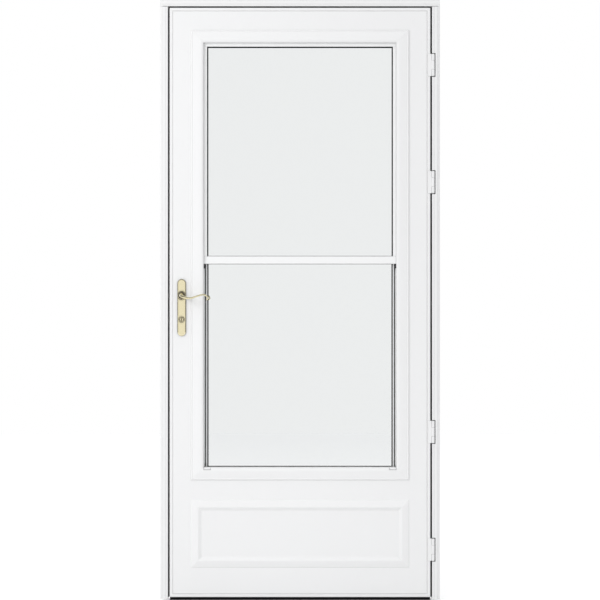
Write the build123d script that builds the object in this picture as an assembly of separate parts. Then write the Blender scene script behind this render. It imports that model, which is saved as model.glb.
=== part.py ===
from build123d import *
import os

# A storm door in its frame. All lengths are in millimetres.
# +X points to the hinges, -Y outdoors and +Z up. While it is modelled, z = 0 is the foot of the
# jambs, and y = 0 is the face of the house casing that the frame's flanges lie on.

overcut = 1.0  # how far a cutter runs past what it cuts
cut_reach = 200.0  # longer than any section, and than the leaf is thick

# Frame: Z-shaped bars, each with a flange on the casing, a web into the doorway and a stop leg.
frame_width = 956.0
frame_height = 2051.0
face_width = 27.0  # the flange, seen from outdoors
flange_thickness = 1.8
bar_wall = 1.6
lip_width = 8.0  # outer lip, which the cover clips behind
lip_height = 8.0
lip_radius = 3.0
stop_width = 22.0
cover_height = 10.0
cover_wall = 1.4
cover_foot = 3.0  # the cover's legs end this far out from the casing
cover_radius = 2.6
cover_clearance = 0.1
cover_joint = 1.2  # between a jamb's cover and the header's
cover_groove_at = 7.0  # a shallow groove along the covers, from their inner edge to its middle
cover_groove_width = 1.5
cover_groove_depth = 0.9

# Leaf in the frame
side_gap = 5.5
head_gap = 5.0
sill_gap = 5.5
leaf_setout = 8.0  # the leaf's outdoor face stands this far out from the casing
leaf_thickness = 32.0
edge_width = 11.0  # extrusion round the leaf's edge
edge_radius = 2.6
groove_chamfer = 2.0

# Seal on the stop legs
seal_clearance = 5.0
seal_thickness = 4.0
seal_base = 1.4
seal_shoulder = 1.0
seal_radius = 2.3
seal_inset = 1.0

# Window opening between the moulding's inner lips
window_side_margin = 116.5  # from the leaf's edge to the opening
window_top_margin = 120.0
window_sill = 449.0  # height of the opening's foot
moulding_width = 43.5
moulding_crest = 7.5  # above the leaf's face
moulding_crest_at = 10.0  # from the inner lip
moulding_lip = 4.0
moulding_slope_end = 3.8
moulding_bead = 4.6
moulding_bead_width = 4.0
moulding_drop = 1.6  # width of the drop at the outer edge
moulding_seat = 2.5  # depth of the moulding's return into the leaf
trim_width = 38.0
trim_height = 4.0
trim_radius = 1.5

# Window tracks
track_depth = 16.0  # the cut-out in the leaf is this much larger than the opening, all round
track_wall = 2.0
fin_thickness = 1.5
fin_inset = 3.0
fin_seen = 3.5  # how far a side track's middle fin shows inside the moulding
channel_width = 9.0

# Sashes
sash_clearance = 0.5
sash_thickness = 8.2
sash_radius = 1.4
step_seen = 4.0  # a lower stile's raised edge beside the glass
step_depth = 1.8
sash_stile_seen = 11.5  # how far a sash's stile shows inside the moulding
upper_rail_seen = 12.5
lower_rail_seen = 0.5
meeting_drop = 17.0  # the meeting rail's middle lies this far under the middle of the opening
meeting_height = 26.0
glass_thickness = 3.2
glass_rebate = 6.0
glazing_seal_width = 4.0  # how far a pane's seal shows beside the stiles and under the upper rail
upper_seal_low = 1.2  # and along the other rails
lower_seal_low = 2.6
lower_seal_high = 1.0
glazing_seal_thickness = 1.4
clip_height = 15.0
clip_seen = 4.5
sash_latch_rise = 24.0  # sash latches, on the indoor face of the stiles, above the lower rail
sash_latch_length = 42.0
sash_latch_depth = 3.0
sash_latch_radius = 1.0
sash_latch_margin = 0.8

# Plugs in the lower corners of the window moulding
plug_width = 24.0
plug_height = 8.5
plug_gap = 1.0
plug_sunk = 3.0  # under the moulding's crest

# Raised moulding of the kick panel
kick_side_margin = 72.5  # from the leaf's edge
kick_foot = 106.0
kick_under_window = 111.0  # from the opening's foot down to the raised moulding
kick_band = 38.0
kick_crest = 5.6
kick_crest_at = 13.5
kick_outer_rise = 1.8
kick_outer_drop = 3.0

# Bottom sweep
sweep_drop = 10.5
sweep_base = 2.5
sweep_fin = 1.8
sweep_fins = 3
sweep_depth = 24.0
sweep_end_gap = 1.0

# Hinges
hinges_from_foot = [162.5, 564.5]  # centres above the leaf's lower edge
hinges_from_head = [596.0, 196.0]  # centres below the leaf's upper edge
hinge_height = 76.0
hinge_offset = 9.5  # pin axis beyond the leaf's edge
hinge_setout = 1.0  # pin axis out from the leaf's face
knuckle_radius = 5.0
knuckle_middle = 30.0
knuckle_gap = 0.5
pin_radius = 2.5
pin_clearance = 0.05
pin_head_radius = 4.3
pin_head_height = 1.5
flap_thickness = 2.0
flap_width = 8.5
frame_flap_thickness = 2.8
frame_flap_width = 13.0
notch_clearance = 2.5

# Screw holes in the flanges
screw_hole_radius = 2.5
jamb_screws_from_foot = [60.0, 380.0]
jamb_screws_from_head = [404.0, 84.0]
header_screw_spacing = 600.0

# Lock
backset = 41.5
lever_height = 1036.0
lock_spacing = 82.0  # from the lever's axis down to the key cylinder's
plate_over_lever = 56.0
plate_under_cylinder = 57.0
plate_width = 29.7
plate_thickness = 6.0
plate_radius = 4.6
rose_radius = 13.0
rose_height = 3.0
rose_fillet = 1.2
hub_radius = 8.5
hub_length = 13.0
hub_clearance = 0.5
shank_radius = 6.0
# Places along the grip from the hub's end: towards the window, out, up, then the way the grip runs there,
# and the half width of its section outwards and across.
grip_stations = [
    ((0, 0, 0), (0, 1, 0), 7.6, 7.6),
    ((1.5, 11.5, -1), (0.3, 1, -0.1), 6.8, 6.4),
    ((7.5, 20.5, -4), (0.85, 0.6, -0.3), 6.6, 5.2),
    ((17, 25.5, -7.5), (1, 0.2, -0.25), 6.6, 4.4),
    ((28, 26.5, -9.5), (1, 0, 0), 6.8, 3.8),
    ((45, 25.5, -6), (1, 0, 0.35), 7.0, 3.4),
    ((62, 24.5, -0.5), (1, 0, 0.3), 6.8, 3.2),
    ((76, 23.5, 2.5), (1, 0, -0.05), 6.2, 3.0),
    ((86.5, 23.5, -1), (0.7, 0, -0.75), 5.4, 2.8),
    ((91, 23.5, -9), (-0.05, 0, -1), 4.8, 2.6),
    ((86.5, 23.5, -15), (-0.9, 0, -0.5), 4.2, 2.4),
]
shank_clearance = 0.3
spindle_width = 8.0
spindle_hole_radius = 9.0
cylinder_radius = 9.2
cylinder_height_out = 2.0
cylinder_rim = 0.7
plug_radius = 5.4
plug_groove = 2.2
plug_groove_depth = 3.0
keyway_width = 2.6
keyway_height = 8.0
keyway_depth = 6.0
turn_length = 26.0
turn_width = 7.0
turn_height = 12.0
turn_radius = 3.3
faceplate_margin = 34.0  # beyond the axes of the two bolts
faceplate_width = 18.0
faceplate_thickness = 1.6
bolt_width = 9.0
bolt_height = 15.0
bolt_length = 20.0
bolt_clearance = 1.5
strike_front = 1.4  # front edge of the strike's face, behind the casing face
strike_width = 15.0
strike_lip = 1.0
strike_margin = 4.0

# Places that follow from the sizes above
half_frame = frame_width / 2
half_opening = half_frame - face_width
head_height = frame_height - face_width
half_leaf = half_opening - side_gap
leaf_bottom = sill_gap
leaf_top = head_height - head_gap
leaf_front = -leaf_setout
leaf_rear = leaf_front + leaf_thickness
leaf_middle = (leaf_front + leaf_rear) / 2
stop_front = leaf_rear + seal_clearance + seal_thickness
stop_back = stop_front + bar_wall
web_front = lip_height - bar_wall
half_window = half_leaf - window_side_margin
window_top = leaf_top - window_top_margin
meeting_bottom = (window_sill + window_top) / 2 - meeting_drop - meeting_height / 2
half_slab = half_leaf - edge_width
half_cut = half_window + track_depth
track_front = leaf_front + moulding_seat
outer_channel = track_front + fin_thickness
inner_channel = outer_channel + channel_width + fin_thickness
track_back = inner_channel + channel_width + fin_thickness
hinge_x = half_leaf + hinge_offset
hinge_y = leaf_front - hinge_setout
half_kick = half_leaf - kick_side_margin
kick_top = window_sill - kick_under_window
hinge_heights = [leaf_bottom + rise for rise in hinges_from_foot]
hinge_heights += [leaf_top - drop for drop in hinges_from_head]
jamb_screw_heights = jamb_screws_from_foot + [head_height - drop for drop in jamb_screws_from_head]
jamb_screw_heights.append((jamb_screw_heights[0] + jamb_screw_heights[-1]) / 2)
lock_x = -(half_leaf - backset)
cylinder_height = lever_height - lock_spacing
plate_top = lever_height + plate_over_lever
plate_bottom = cylinder_height - plate_under_cylinder
faceplate_top = lever_height + faceplate_margin
faceplate_bottom = cylinder_height - faceplate_margin
flange_middle = half_opening + face_width / 2
origin_height = head_height + face_width / 2


def block(x0, x1, y0, y1, z0, z1):
    """A box between two corners."""
    centre = ((x0 + x1) / 2, (y0 + y1) / 2, (z0 + z1) / 2)
    return Pos(*centre) * Box(abs(x1 - x0), abs(y1 - y0), abs(z1 - z0))


def rounded_bar(x0, x1, y0, y1, z0, z1, axis, radius):
    """A box whose four long edges along the axis are rounded."""
    bar = block(x0, x1, y0, y1, z0, z1)
    return fillet(bar.edges().filter_by(axis), radius)


def outline(*points):
    """A flat face in the XY plane with straight sides."""
    return make_face(Polyline(*points, close=True))


def corner_of(face, x, y):
    """The corner of a flat face that lies nearest to a point."""
    return face.vertices().sort_by_distance(Vector(x, y, 0))[0]


def member(section, inner_length, low, high):
    """A bar with mitred ends. Its section lies in XY, with x outwards from the opening."""
    bar = extrude(section, inner_length / 2 + high, both=True)
    low_half = inner_length / 2 + low
    high_half = inner_length / 2 + high
    mitre = Plane.XZ * outline((low, -low_half), (high, -high_half), (high, high_half), (low, low_half))
    return bar & extrude(mitre, cut_reach, both=True)


def surround(section, half_width, bottom, top, low, high):
    """Four mitred members round an opening, with the same section all round."""
    middle = (bottom + top) / 2
    upright = member(section, top - bottom, low, high)
    level = member(section, 2 * half_width, low, high)
    return {
        "hinge": Pos(half_width, 0, middle) * upright,
        "latch": Pos(-half_width, 0, middle) * Rot(0, 180, 0) * upright,
        "head": Pos(0, 0, top) * Rot(0, -90, 0) * level,
        "foot": Pos(0, 0, bottom) * Rot(0, 90, 0) * level,
    }


def mirrored(shape):
    """The same shape on the latch side."""
    return mirror(shape, about=Plane.YZ)


def other_face(shape):
    """The same shape on the leaf's indoor face."""
    return mirror(shape, about=Plane.XZ.offset(-leaf_middle))


# Frame


def bar_section():
    """Section of a Z-bar: x runs inwards from its outer edge."""
    end = face_width + stop_width
    face = outline(
        (0, 0),
        (0, -lip_height),
        (lip_width, -lip_height),
        (lip_width, -web_front),
        (bar_wall, -web_front),
        (bar_wall, -flange_thickness),
        (face_width - bar_wall, -flange_thickness),
        (face_width - bar_wall, -web_front),
        (face_width, -web_front),
        (face_width, stop_front),
        (end, stop_front),
        (end, stop_back),
        (face_width - bar_wall, stop_back),
        (face_width - bar_wall, 0),
    )
    return fillet(corner_of(face, 0, -lip_height), lip_radius)


def cover_section():
    """Section of a clipped cover: x runs inwards from the bar's outer edge."""
    inner = face_width - bar_wall - cover_clearance
    groove = face_width - cover_groove_at
    half_groove = cover_groove_width / 2
    face = outline(
        (lip_width, -cover_foot),
        (lip_width, -cover_height),
        (groove - half_groove, -cover_height),
        (groove, cover_groove_depth - cover_height),
        (groove + half_groove, -cover_height),
        (face_width, -cover_height),
        (face_width, -web_front),
        (inner, -web_front),
        (inner, -cover_foot),
        (inner - cover_wall, -cover_foot),
        (inner - cover_wall, cover_wall - cover_height),
        (lip_width + cover_wall, cover_wall - cover_height),
        (lip_width + cover_wall, -cover_foot),
    )
    return fillet(corner_of(face, face_width, -cover_height), cover_radius)


def upright_bar(section, height):
    """A section stood up as the hinge side's bar."""
    bar = extrude(section, height)
    return Pos(half_frame, 0, 0) * mirror(bar, about=Plane.YZ)


def level_bar(section, length):
    """A section laid along the head of the frame."""
    bar = extrude(section, length / 2, both=True)
    return Pos(0, 0, frame_height) * Rot(0, 90, 0) * bar


def screw_hole(x, z):
    """A cutter for one screw hole through a flange."""
    hole = Cylinder(screw_hole_radius, 4 * flange_thickness)
    return Pos(x, -flange_thickness / 2, z) * Rot(90, 0, 0) * hole


def hinge_notch(height, reach):
    """A cutter for the room round one hinge, as deep as the reach."""
    half = hinge_height / 2 + notch_clearance
    far = hinge_x + knuckle_radius + notch_clearance
    near = half_opening - overcut
    return block(near, far, -cover_height - overcut, reach, height - half, height + half)


def strike_boss():
    """The window in the latch jamb's web, which the strike plate's face fills."""
    rear = strike_front + strike_width
    return block(-half_opening - bar_wall, -half_opening, strike_front, rear, faceplate_bottom, faceplate_top)


def jamb():
    """The hinge jamb without its notches."""
    bar = upright_bar(bar_section(), head_height)
    for height in jamb_screw_heights:
        bar -= screw_hole(flange_middle, height)
    return bar


def header():
    bar = level_bar(bar_section(), frame_width)
    past_web = half_opening + bar_wall
    past_stop = half_opening - stop_width
    low = head_height - stop_width - overcut
    rear = stop_back + overcut
    high = frame_height - flange_thickness
    for side in (-1, 1):
        end = side * (half_frame + overcut)
        bar -= block(side * past_web, end, 0, rear, low, high)
        bar -= block(side * past_stop, end, 0, rear, low, head_height)
        bar -= screw_hole(side * header_screw_spacing / 2, origin_height)
    return bar


def seal_section():
    """Section of the stop's seal: x runs inwards from the web."""
    width = stop_width - 2 * seal_inset
    bulb = seal_thickness - seal_base
    base = outline((0, 0), (width, 0), (width, -seal_base), (0, -seal_base))
    crown = Pos(width / 2, -seal_base) * Rectangle(width - 2 * seal_shoulder, 2 * bulb)
    crown = fillet(crown.vertices(), seal_radius)
    return base + crown & (Pos(width / 2, -seal_thickness / 2) * Rectangle(width, seal_thickness))


def stop_seals():
    """Seals on the two jambs' stops, and the one on the header's."""
    side = extrude(seal_section(), head_height)
    side = Pos(half_opening - seal_inset, stop_front, 0) * mirror(side, about=Plane.YZ)
    head = extrude(seal_section(), half_opening - stop_width - seal_inset, both=True)
    head = Pos(0, stop_front, head_height - seal_inset) * Rot(0, 90, 0) * head
    return side, head


def strike_plate():
    """A plate behind the web, with a face that fills the web's window and two bolt holes."""
    web_back = -half_opening - bar_wall
    plate = strike_boss() + block(
        web_back - bar_wall,
        web_back,
        strike_front - strike_lip,
        strike_front + strike_width + strike_margin,
        faceplate_bottom - strike_margin,
        faceplate_top + strike_margin,
    )
    half_width = bolt_width / 2 + bolt_clearance
    half_bolt = bolt_height / 2 + bolt_clearance
    for height in (lever_height, cylinder_height):
        plate -= block(
            web_back - 2 * bar_wall,
            -half_opening + overcut,
            leaf_middle - half_width,
            leaf_middle + half_width,
            height - half_bolt,
            height + half_bolt,
        )
    return plate


# Hinges


def knuckle(low, high, radius):
    """A round length on the pin axis, from one height to another."""
    return Pos(hinge_x, hinge_y, (low + high) / 2) * Cylinder(radius, high - low)


def hinge_parts(height):
    """Door half, frame half and pin of the hinge at one height."""
    half = hinge_height / 2
    ends = half - pin_head_height
    middle = knuckle_middle / 2
    edge = hinge_x - knuckle_radius - knuckle_gap
    inner = half_leaf - flap_width
    flap_front = leaf_front - flap_thickness
    door = block(inner, edge, flap_front, leaf_front, height - half, height + half)
    door += block(inner, hinge_x, flap_front, leaf_front, height - middle, height + middle)
    door += knuckle(height - middle, height + middle, knuckle_radius)
    door -= knuckle(height - half, height + half, pin_radius + pin_clearance)
    plate_front = -flange_thickness - frame_flap_thickness
    far = hinge_x + frame_flap_width
    clear = hinge_x + knuckle_radius + knuckle_gap
    frame = block(clear, far, plate_front, -flange_thickness, height - ends, height + ends)
    near = middle + knuckle_gap
    for low, high in ((height - ends, height - near), (height + near, height + ends)):
        frame += block(hinge_x, clear, plate_front, -flange_thickness, low, high)
        frame += block(hinge_x, hinge_x + knuckle_radius, hinge_y, -flange_thickness, low, high)
        frame += knuckle(low, high, knuckle_radius)
    frame -= knuckle(height - half, height + half, pin_radius)
    pin = knuckle(height - ends, height + ends, pin_radius)
    pin += knuckle(height - half, height - ends, pin_head_radius)
    pin += knuckle(height + ends, height + half, pin_head_radius)
    return door, frame, pin


# Leaf


def edge_section():
    """Section of the leaf's edge extrusion: x runs outwards from the slab."""
    face = outline((0, leaf_front), (edge_width, leaf_front), (edge_width, leaf_rear), (0, leaf_rear))
    rims = [corner_of(face, edge_width, leaf_front), corner_of(face, edge_width, leaf_rear)]
    face = fillet(rims, edge_radius)
    grooves = [corner_of(face, 0, leaf_front), corner_of(face, 0, leaf_rear)]
    return chamfer(grooves, groove_chamfer)


def kick_section():
    """Section of the kick panel's raised moulding: x runs outwards from the flat field."""
    crest = (kick_crest_at, -kick_crest)
    shoulder = (kick_band - kick_outer_drop, -kick_outer_rise)
    inner = Spline((0, 0), crest, tangents=[(1, 0), (1, 0)], tangent_scalars=[0.9, 0.7])
    outer = Spline(crest, shoulder, tangents=[(1, 0), (1, 0.12)], tangent_scalars=[0.9, 0.9])
    rest = Polyline(shoulder, (kick_band, 0), (kick_band, overcut), (0, overcut), (0, 0))
    return Pos(0, leaf_front) * make_face(Wire([inner, outer] + rest.edges()))


def slab():
    """The leaf inside its edge extrusions, with the window cut out and the kick panel raised."""
    low = leaf_bottom + edge_width
    high = leaf_top - edge_width
    body = block(-half_slab, half_slab, leaf_front, leaf_rear, low, high)
    rims = body.faces().filter_by(Axis.Y).edges()
    body = chamfer(rims, groove_chamfer)
    foot = window_sill - track_depth
    head = window_top + track_depth
    body -= block(-half_cut, half_cut, leaf_front - overcut, leaf_rear + overcut, foot, head)
    half_field = half_kick - kick_band
    band = surround(kick_section(), half_field, kick_foot + kick_band, kick_top - kick_band, 0, kick_band)
    for piece in band.values():
        body += piece
        body += other_face(piece)
    hole = Cylinder(spindle_hole_radius, leaf_thickness + 2 * overcut)
    return body - Pos(lock_x, leaf_middle, lever_height) * Rot(90, 0, 0) * hole


def slab_pieces():
    """The slab as its stiles, top rail and lower panel."""
    body = slab()
    low = leaf_bottom
    high = leaf_top
    front = leaf_front - cut_reach
    rear = leaf_rear + cut_reach
    foot = window_sill - track_depth
    head = window_top + track_depth
    region = block(half_kick, half_leaf, front, rear, low, high)
    region += block(half_cut, half_leaf, front, rear, foot, high)
    return {
        "hinge_stile": body & region,
        "latch_stile": body & mirrored(region),
        "top_rail": body & block(-half_cut, half_cut, front, rear, head, high),
        "kick_panel": body & block(-half_kick, half_kick, front, rear, low, foot),
    }


def latch_mortise():
    """The recess for the latch's faceplate in the leaf's edge."""
    front = leaf_middle - faceplate_width / 2
    rear = leaf_middle + faceplate_width / 2
    deep = -half_leaf + faceplate_thickness
    return block(-half_leaf - overcut, deep, front, rear, faceplate_bottom, faceplate_top)


def bolt_space(height):
    """The room that one bolt takes in the edge."""
    half = bolt_height / 2
    front = leaf_middle - bolt_width / 2
    rear = leaf_middle + bolt_width / 2
    end = -half_leaf + bolt_length
    return block(-half_leaf, end, front, rear, height - half, height + half)


# Window


def moulding_section():
    """Section of the outdoor window moulding: x runs outwards from the inner lip."""
    bead_start = moulding_width - moulding_drop - moulding_bead_width
    bead_top = bead_start + moulding_bead_width / 2
    bead_end = moulding_width - moulding_drop
    crest = (moulding_crest_at, -moulding_crest)
    slope_end = (bead_start, -moulding_slope_end)
    lip = (0, -moulding_lip)
    roll = Spline(lip, crest, tangents=[(0.7, -1), (1, 0)], tangent_scalars=[1, 1])
    slope = Spline(crest, slope_end, tangents=[(1, 0), (1, 0.1)], tangent_scalars=[0.8, 0.8])
    bead = ThreePointArc(slope_end, (bead_top, -moulding_bead), (bead_end, -moulding_slope_end))
    rest = Polyline(
        (bead_end, -moulding_slope_end),
        (moulding_width, 0),
        (track_depth, 0),
        (track_depth, moulding_seat),
        (0, moulding_seat),
        lip,
    )
    return Pos(0, leaf_front) * make_face(Wire([roll, slope, bead] + rest.edges()))


def trim_section():
    """Section of the indoor window trim: x runs outwards from the opening."""
    face = outline(
        (0, track_back),
        (0, leaf_rear + trim_height),
        (trim_width, leaf_rear + trim_height),
        (trim_width, leaf_rear),
        (track_depth, leaf_rear),
        (track_depth, track_back),
    )
    rims = [corner_of(face, 0, leaf_rear + trim_height), corner_of(face, trim_width, leaf_rear + trim_height)]
    return fillet(rims, trim_radius)


def track_section():
    """Section of a track with an outer and an inner channel."""
    back = track_depth - track_wall
    corners = [(back, track_front), (track_depth, track_front), (track_depth, track_back), (back, track_back)]
    fins = outline(*corners)
    for y in (track_front, inner_channel - fin_thickness, track_back - fin_thickness):
        end = y + fin_thickness
        fins += outline((fin_inset, y), (back, y), (back, end), (fin_inset, end))
    return fins


def middle_fin():
    """The edge of the hinge side's middle fin, which shows beside the lower sash."""
    near = half_window - fin_seen
    far = half_window + fin_inset
    return block(near, far, inner_channel - fin_thickness, inner_channel, window_sill, window_top)


def sash(bottom, top, bottom_rail, top_rail, channel, seal_low, seal_high):
    """Rails, stiles, glass, seals and latches of one sash that runs in a channel."""
    half = half_cut - track_wall - sash_clearance
    inner = half_window - sash_stile_seen
    front = channel + (channel_width - sash_thickness) / 2
    rear = front + sash_thickness
    low = bottom + bottom_rail
    high = top - top_rail
    pane_front = (front + rear - glass_thickness) / 2
    pane_rear = pane_front + glass_thickness
    reach = inner + glass_rebate
    pane = block(-reach, reach, pane_front, pane_rear, low - glass_rebate, high + glass_rebate)
    foot = rounded_bar(-half, half, front, rear, bottom, low, Axis.X, sash_radius) - pane
    head = rounded_bar(-half, half, front, rear, high, top, Axis.X, sash_radius) - pane
    stile = rounded_bar(inner, half, front, rear, low, high, Axis.Z, sash_radius) - pane
    seals = []
    for y in (pane_front - glazing_seal_thickness, pane_rear):
        end = y + glazing_seal_thickness
        hole = inner - glazing_seal_width
        ring = block(-inner, inner, y, end, low, high)
        ring -= block(-hole, hole, y - overcut, end + overcut, low + seal_low, high - seal_high)
        seals.append(ring)
    near = inner + sash_latch_margin
    far = half_window - fin_seen - sash_latch_margin
    rise = low + sash_latch_rise
    latch = block(near, far, rear, rear + sash_latch_depth, rise, rise + sash_latch_length)
    latch = fillet(latch.faces().sort_by(Axis.Y)[-1].edges(), sash_latch_radius)
    return {
        "foot": foot,
        "head": head,
        "stiles": [stile, mirrored(stile)],
        "glass": pane,
        "seals": seals,
        "latches": [latch, mirrored(latch)],
    }


def stepped(stile):
    """A hinge-side stile whose outdoor face is set back beside its raised edge at the glass."""
    bounds = stile.bounding_box()
    edge = bounds.min.X + step_seen
    front = bounds.min.Y
    return stile - block(edge, bounds.max.X, front, front + step_depth, bounds.min.Z, bounds.max.Z)


def corner_plug(gap):
    """A plug in a lower corner of the window moulding, or its pocket where the gap is 0."""
    far = half_window - gap
    near = half_window - plug_width + gap
    front = leaf_front - moulding_crest + (plug_sunk if gap else -overcut)
    low = window_sill - plug_height + gap
    return block(near, far, front, track_front, low, window_sill)


def support_clip():
    """A block in the outer channel that the upper sash stands on."""
    half = half_cut - track_wall
    inner = half_window - clip_seen
    low = meeting_bottom - clip_height
    return block(inner, half, outer_channel, outer_channel + channel_width, low, meeting_bottom)


def bottom_sweep():
    """A flexible strip with fins, under the leaf."""
    half = half_leaf - sweep_end_gap
    front = leaf_middle - sweep_depth / 2
    rear = leaf_middle + sweep_depth / 2
    strip = block(-half, half, front, rear, leaf_bottom - sweep_base, leaf_bottom)
    pitch = (sweep_depth - sweep_fin) / (sweep_fins - 1)
    for index in range(sweep_fins):
        y = front + index * pitch
        strip += block(-half, half, y, y + sweep_fin, leaf_bottom - sweep_drop, leaf_bottom - sweep_base)
    return strip


# Lock and levers


def outwards(distance):
    """The y that lies a distance out from the leaf's outdoor face."""
    return leaf_front - distance


def stub(radius, near, far, height):
    """A round length on a lock axis, between two distances out from the leaf."""
    middle = outwards((near + far) / 2)
    return Pos(lock_x, middle, height) * Rot(90, 0, 0) * Cylinder(radius, far - near)


def escutcheon():
    """The long plate with round ends, its rose and the holes for lever and cylinder."""
    face = Plane.XZ * Rot(0, 0, 90) * SlotOverall(plate_top - plate_bottom, plate_width)
    plate = Pos(lock_x, leaf_front, (plate_top + plate_bottom) / 2) * extrude(face, plate_thickness)
    plate = fillet(plate.faces().sort_by(Axis.Y)[0].edges(), plate_radius)
    rose = stub(rose_radius, plate_thickness, plate_thickness + rose_height, lever_height)
    rose = fillet(rose.faces().sort_by(Axis.Y)[0].edges(), rose_fillet)
    plate += rose
    through = plate_thickness + rose_height + overcut
    plate -= stub(shank_radius + shank_clearance, -overcut, through, lever_height)
    return plate - stub(cylinder_radius, -overcut, through, cylinder_height)


def lock_cylinder():
    """The key cylinder with its plug and keyway."""
    top = plate_thickness + cylinder_height_out
    body = stub(cylinder_radius, 0, top, cylinder_height)
    rim = body.faces().sort_by(Axis.Y)[0].edges()
    body = fillet(rim, cylinder_rim)
    groove = stub(plug_radius + plug_groove, top - plug_groove_depth, top + overcut, cylinder_height)
    groove -= stub(plug_radius, 0, top + overcut, cylinder_height)
    body -= groove
    key = outwards(top)
    low = cylinder_height - keyway_height / 2
    near = lock_x - keyway_width / 2
    far = near + keyway_width
    return body - block(near, far, key - overcut, key + keyway_depth, low, low + keyway_height)


def thumb_turn():
    """The indoor turn piece that throws the bolt."""
    base = stub(cylinder_radius, 0, plate_thickness + cylinder_height_out, cylinder_height)
    low = outwards(plate_thickness + cylinder_height_out + turn_height)
    high = outwards(plate_thickness + cylinder_height_out)
    grip = block(
        lock_x - turn_width / 2,
        lock_x + turn_width / 2,
        low,
        high,
        cylinder_height - turn_length / 2,
        cylinder_height + turn_length / 2,
    )
    grip = fillet(grip.edges().filter_by(Axis.Y), turn_radius)
    return other_face(base + grip)


def lever():
    """The outdoor lever: a hub on the rose, a neck, and a waved grip that ends in a small curl."""
    base = plate_thickness + rose_height + hub_clearance
    hub = stub(hub_radius, base, base + hub_length, lever_height)
    hub += stub(shank_radius, 0, base, lever_height)
    sections = []
    for (along, out, up), (run, away, rise), half_out, half_across in grip_stations:
        way = Vector(run, -away, rise)
        spread = Vector(0, -1, 0) if away == 0 else way.cross(Vector(0, 0, 1))
        centre = (lock_x + along, outwards(base + hub_length + out), lever_height + up)
        plane = Plane(origin=centre, x_dir=spread, z_dir=way)
        sections.append(plane * Ellipse(half_out, half_across))
    return hub + loft(sections)


def spindle():
    """The square bar through the leaf that joins the two levers."""
    bar = Box(spindle_width, leaf_thickness, spindle_width)
    return Pos(lock_x, leaf_middle, lever_height) * bar


def frame_nodes():
    """The frame's bars, covers, seals, strike and hinge halves by name."""
    nodes = {}
    jamb_bar = jamb()
    hinge_jamb = jamb_bar
    hinge_cover = upright_bar(cover_section(), head_height - cover_joint)
    nodes["latch_jamb_cover"] = mirrored(hinge_cover)
    web_notch = -flange_thickness - frame_flap_thickness / 2
    for height in hinge_heights:
        hinge_jamb -= hinge_notch(height, web_notch)
        hinge_cover -= hinge_notch(height, web_notch)
    nodes["hinge_jamb"] = hinge_jamb
    nodes["latch_jamb"] = mirrored(jamb_bar) - strike_boss()
    nodes["header"] = header()
    nodes["hinge_jamb_cover"] = hinge_cover
    nodes["header_cover"] = level_bar(cover_section(), frame_width)
    side_seal, head_seal = stop_seals()
    nodes["jamb_seals"] = [side_seal, mirrored(side_seal)]
    nodes["header_seal"] = head_seal
    nodes["strike_plate"] = strike_plate()
    return nodes


def hinge_nodes():
    """The leaves and pins of all the hinges by name."""
    hinges = [hinge_parts(height) for height in hinge_heights]
    return {
        "door_hinge_leaves": [door for door, frame, pin in hinges],
        "frame_hinge_leaves": [frame for door, frame, pin in hinges],
        "hinge_pins": [pin for door, frame, pin in hinges],
    }


def leaf_nodes():
    """The leaf's skin, edge extrusions, latch and sweep by name."""
    nodes = slab_pieces()
    low = leaf_bottom + edge_width
    high = leaf_top - edge_width
    edges = surround(edge_section(), half_slab, low, high, 0, edge_width)
    nodes["hinge_edge"] = edges["hinge"]
    nodes["latch_edge"] = edges["latch"] - latch_mortise()
    nodes["top_edge"] = edges["head"]
    nodes["bottom_edge"] = edges["foot"]
    nodes["latch_faceplate"] = latch_mortise() & block(-half_leaf, 0, leaf_front, leaf_rear, 0, leaf_top)
    bolts = [bolt_space(lever_height), bolt_space(cylinder_height)]
    for bolt in bolts:
        for name in ("latch_edge", "latch_faceplate", "latch_stile"):
            nodes[name] -= bolt
    nodes["latch_bolts"] = bolts
    nodes["bottom_sweep"] = bottom_sweep()
    return nodes


def window_frame_nodes():
    """The mouldings, trims, tracks and plugs round the opening by name."""
    nodes = {}
    moulding = surround(moulding_section(), half_window, window_sill, window_top, 0, moulding_width)
    nodes["window_moulding_sides"] = [moulding["hinge"], moulding["latch"]]
    nodes["window_moulding_head"] = moulding["head"]
    pocket = corner_plug(0)
    nodes["window_moulding_foot"] = moulding["foot"] - pocket - mirrored(pocket)
    plug = corner_plug(plug_gap)
    nodes["corner_plugs"] = [plug, mirrored(plug)]
    trim = surround(trim_section(), half_window, window_sill, window_top, 0, trim_width)
    nodes["indoor_trim_sides"] = [trim["hinge"], trim["latch"]]
    nodes["indoor_trim_head"] = trim["head"]
    nodes["indoor_trim_foot"] = trim["foot"]
    track = surround(track_section(), half_window, window_sill, window_top, 0, track_depth)
    side_track = track["hinge"] + middle_fin()
    nodes["side_tracks"] = [side_track, mirrored(side_track)]
    nodes["head_track"] = track["head"]
    nodes["sill_track"] = track["foot"]
    return nodes


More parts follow.
